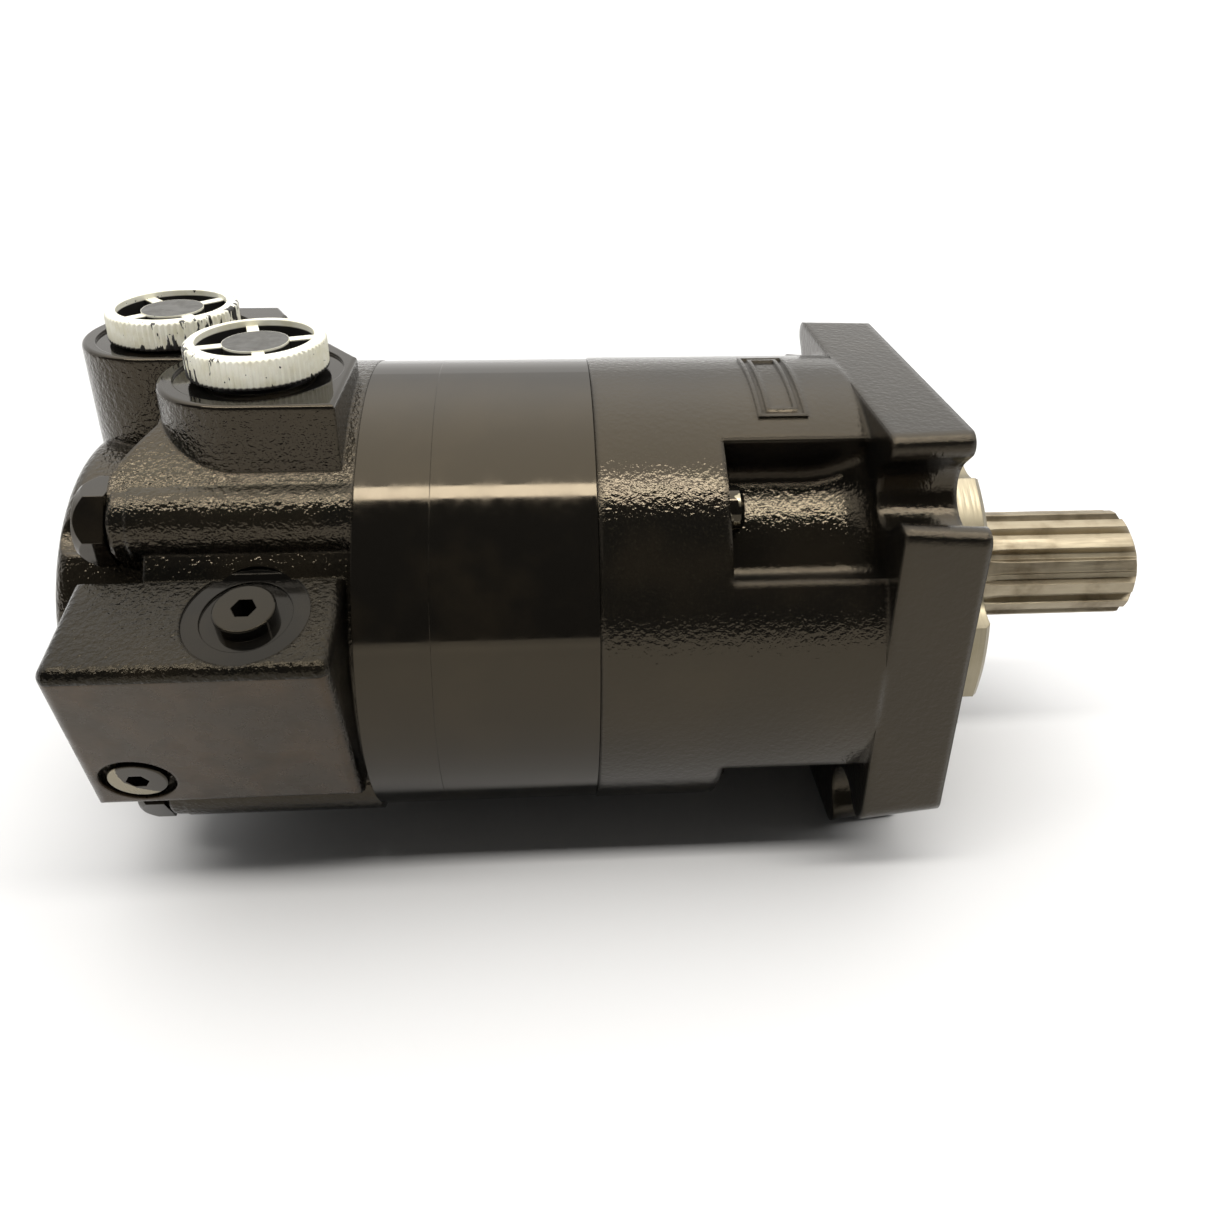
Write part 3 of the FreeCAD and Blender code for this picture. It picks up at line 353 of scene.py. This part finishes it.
def make_relief():
    """Plug face scuffed bare in a crescent on its rear lower side."""
    n = Nodes("relief_plug_paint")
    y0, z0 = block_place(0.0, RELIEF[1])
    down = along(n, math.sin(FACE_TILT), -math.cos(FACE_TILT))
    down_at = y0 * math.sin(FACE_TILT) - z0 * math.cos(FACE_TILT)
    inner = radius_about(n, n.split()[0], down, RELIEF[0] + 0.0046, down_at - 0.0034)
    ragged = n.math("MULTIPLY_ADD", n.noise(500, 3.0), 0.0016, inner)
    crescent = n.ramp(ragged, 0.0092, 0.0095)
    bare = bare_steel(n, (30, 1, 1), (0.25, 0.4), CREAM_STEEL, CREAM_STEEL)
    return n.finish(n.blend_shaders(crescent, smooth_paint(n), bare))


def make_shaft():
    n = Nodes("shaft_steel")
    return n.finish(bare_steel(n, (1, 12, 12), (0.42, 0.58)))


def make_inner():
    n = Nodes("inner_steel")
    return n.finish(bare_steel(n, (30, 1, 1), (0.25, 0.4)))


def make_rubber():
    n = Nodes("seal_rubber")
    normal = n.bump(n.noise(900, 2.0), 0.3, 0.00005)
    rough = n.ramp(n.noise(250, 3.0), 0.3, 0.7, 0.42, 0.6)
    tint = n.colour_mix(n.noise(90, 3.0), (0.012, 0.012, 0.012, 1), (0.03, 0.028, 0.026, 1))
    return n.finish(n.surface(Base_Color=tint, Roughness=rough, Normal=normal))


def make_nylon(name, port, head, side):
    """Ivory moulding with grey hub, black pockets and streaks of paint on its knurl."""
    n = Nodes(name)
    x, y, z = n.split()
    radius = radius_about(n, x, y, *port)
    cloudy = n.ramp(n.noise(160, 4.0, 0.6), 0.35, 0.8)
    tint = n.colour_mix(cloudy, IVORY, IVORY_OLD)
    streaks = n.noise(420, 3.0, 0.6, vector=n.scaled(1, 1, 0.22))
    lean = n.math("MULTIPLY_ADD", n.math("SUBTRACT", x, port[0]), side, streaks)
    low = n.math("MULTIPLY_ADD", n.ramp(z, head + DRIP_H, head), 0.13, lean)
    on_knurl = n.ramp(radius, KNURL_FROM_R, KNURL_FROM_R + 0.0004)
    runs = n.math("MULTIPLY", n.ramp(low, 0.63, 0.65), on_knurl)
    specks = n.ramp(n.noise(900, 2.0, 0.5), 0.70, 0.72)
    off_stem = n.ramp(radius, STEM_R, STEM_R + 0.0004)
    hem = n.math("MULTIPLY", n.ramp(z, head + HEM_H + 0.0005, head + HEM_H), off_stem)
    marks = n.math("MAXIMUM", n.math("MAXIMUM", runs, specks), hem, clamp=True)
    hub = n.ramp(radius, HUB_R + 0.0001, HUB_R - 0.0001)
    dull = n.colour_mix(n.ramp(n.noise(700, 3.0), 0.4, 0.6), (0.034, 0.033, 0.028, 1),
                        (0.050, 0.048, 0.041, 1))
    tint = n.colour_mix(hub, tint, dull)
    inside = n.ramp(radius, POCKET_R + 0.0002, POCKET_R)
    deep = n.math("MULTIPLY", n.ramp(z, head + POCKET_H + 0.0003, head + POCKET_H), inside)
    deep = n.math("MULTIPLY", deep, n.ramp(z, head, head + 0.0003))
    tint = n.colour_mix(n.math("MAXIMUM", marks, deep, clamp=True), tint, PAINT_SPOT)
    normal = n.bump(n.noise(700, 2.0), 0.25, 0.00008, n.soft_edges(0.0004))
    rough = n.ramp(n.noise(260, 3.0), 0.3, 0.7, 0.30, 0.46)
    return n.finish(n.surface(Base_Color=tint, Roughness=rough, Normal=normal))


def make_floor():
    """Plain pale paper, painted darker near the part as painted shade against the strip lamp's
    brighter pool of light there.
    """
    n = Nodes("pale_floor")
    x, y = n.split()[:2]
    away = n.ramp(radius_about(n, x, y, -0.1, 0.0), 0.5, 1.4)
    # Painted shade: darker tint near the part, paler away from it.
    tint = n.colour_mix(away, (0.60, 0.605, 0.615, 1), (0.84, 0.845, 0.85, 1))
    normal = n.bump(n.noise(60, 3.0), 0.1, 0.0005)
    return n.finish(n.surface(Base_Color=tint, Roughness=0.8, Normal=normal))


def dress_cad_nodes(frame):
    inner = make_inner()
    by_slot = {
        "machined_paint": make_smooth("machined_paint"),
        "seal_rubber": make_rubber(),
        "shaft_steel": make_shaft(),
        "inner_steel": inner,
        "cage_steel": inner,
    }
    special = {
        "valve_housing": make_valve_housing(),
        "bearing_housing": make_bearing_housing(),
        "tie_bolts": make_tie_bolts(),
        # Drain plug reflections dimmed as painted shade, like the block top.
        "drain_plug": make_smooth("drain_plug_paint", DIM_SHADE_TINT),
        "relief_plug": make_relief(),
        "near_port_plug": make_nylon("near_nylon", NEAR_PORT, NEAR_HEAD, -7.0),
        "far_port_plug": make_nylon("far_nylon", FAR_PORT, FAR_HEAD, 6.0),
    }
    slots = {s["node"]: s["material_slot"] for s in frame["record"]["subparts"]}
    for name, node in frame["nodes"].items():
        material = special.get(name) or by_slot[slots[name]]
        node.data.materials.clear()
        node.data.materials.append(material)


# ------------------------------------------------------------------ surroundings
def make_stage(low):
    mesh = bpy.data.meshes.new("floor")
    work = bmesh.new()
    bmesh.ops.create_grid(work, x_segments=1, y_segments=1, size=FLOOR_HALF)
    work.to_mesh(mesh)
    work.free()
    floor = bpy.data.objects.new("floor", mesh)
    floor.location = (0, 0, low)
    mesh.materials.append(make_floor())
    bpy.context.scene.collection.objects.link(floor)


def area_light(name, place, target, width, height, power, colour):
    light = bpy.data.lights.new(name, "AREA")
    light.shape = "RECTANGLE"
    light.size, light.size_y = width, height
    light.energy = power
    light.color = colour
    lamp = bpy.data.objects.new(name, light)
    lamp.location = place
    aim = Vector(target) - Vector(place)
    lamp.rotation_euler = aim.to_track_quat("-Z", "Y").to_euler()
    bpy.context.scene.collection.objects.link(lamp)


def make_world():
    """Dark room in front, bright wall and ceiling above and behind the part."""
    world = bpy.data.worlds.new("room")
    world.use_nodes = True
    tree = world.node_tree
    place = tree.nodes.new("ShaderNodeTexCoord")
    split = tree.nodes.new("ShaderNodeSeparateXYZ")
    tree.links.new(place.outputs["Generated"], split.inputs[0])
    lean = tree.nodes.new("ShaderNodeMath")
    lean.operation = "MULTIPLY_ADD"
    lean.inputs[1].default_value = FRONT_LEAN
    tree.links.new(split.outputs["Z"], lean.inputs[0])
    tree.links.new(split.outputs["Y"], lean.inputs[2])
    level = tree.nodes.new("ShaderNodeMapRange")
    level.interpolation_type = "SMOOTHSTEP"
    for socket, value in zip(level.inputs[1:4], (-FRONT_BLUR, FRONT_BLUR, FRONT_LEVEL)):
        socket.default_value = value
    tree.links.new(lean.outputs[0], level.inputs[0])
    rise = tree.nodes.new("ShaderNodeMapRange")
    rise.interpolation_type = "SMOOTHSTEP"
    bounds = (WALL_TOP, CEILING_FROM, WALL_LEVEL, CEILING_LEVEL)
    for socket, value in zip(rise.inputs[1:5], bounds):
        socket.default_value = value
    tree.links.new(split.outputs["Z"], rise.inputs[0])
    tree.links.new(rise.outputs[0], level.inputs[4])
    sky = tree.nodes["Background"]
    sky.inputs["Color"].default_value = (1.0, 0.985, 0.96, 1)
    tree.links.new(level.outputs[0], sky.inputs["Strength"])
    bpy.context.scene.world = world


def make_lights():
    area_light("strip", place=(-0.1, -0.43, 1.3), target=(-0.1, 0.0, 0.0),
               width=2.4, height=0.15, power=22, colour=(1.0, 0.97, 0.92))
    make_world()


def make_camera():
    camera = bpy.data.cameras.new("camera")
    camera.sensor_width = 36.0
    camera.lens = 30.24
    camera.shift_y = -0.1046
    camera.clip_start, camera.clip_end = 0.01, 20.0
    right = Vector((0.99776, -0.06571, 0.01254))
    up = Vector((0.01764, 0.43930, 0.89818))
    back = Vector((-0.06453, -0.89594, 0.43947))
    eye = bpy.data.objects.new("camera", camera)
    pose = Matrix((right, up, back)).transposed().to_4x4()
    pose.translation = Vector((-0.10340, -0.26025, 0.15825))
    eye.matrix_world = pose
    bpy.context.scene.collection.objects.link(eye)
    bpy.context.scene.camera = eye


def main():
    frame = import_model()
    cad_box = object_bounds()
    bpy.context.scene.view_settings.view_transform = "Standard"
    dress_cad_nodes(frame)
    make_stage(cad_box[0].z)
    make_lights()
    make_camera()


main()
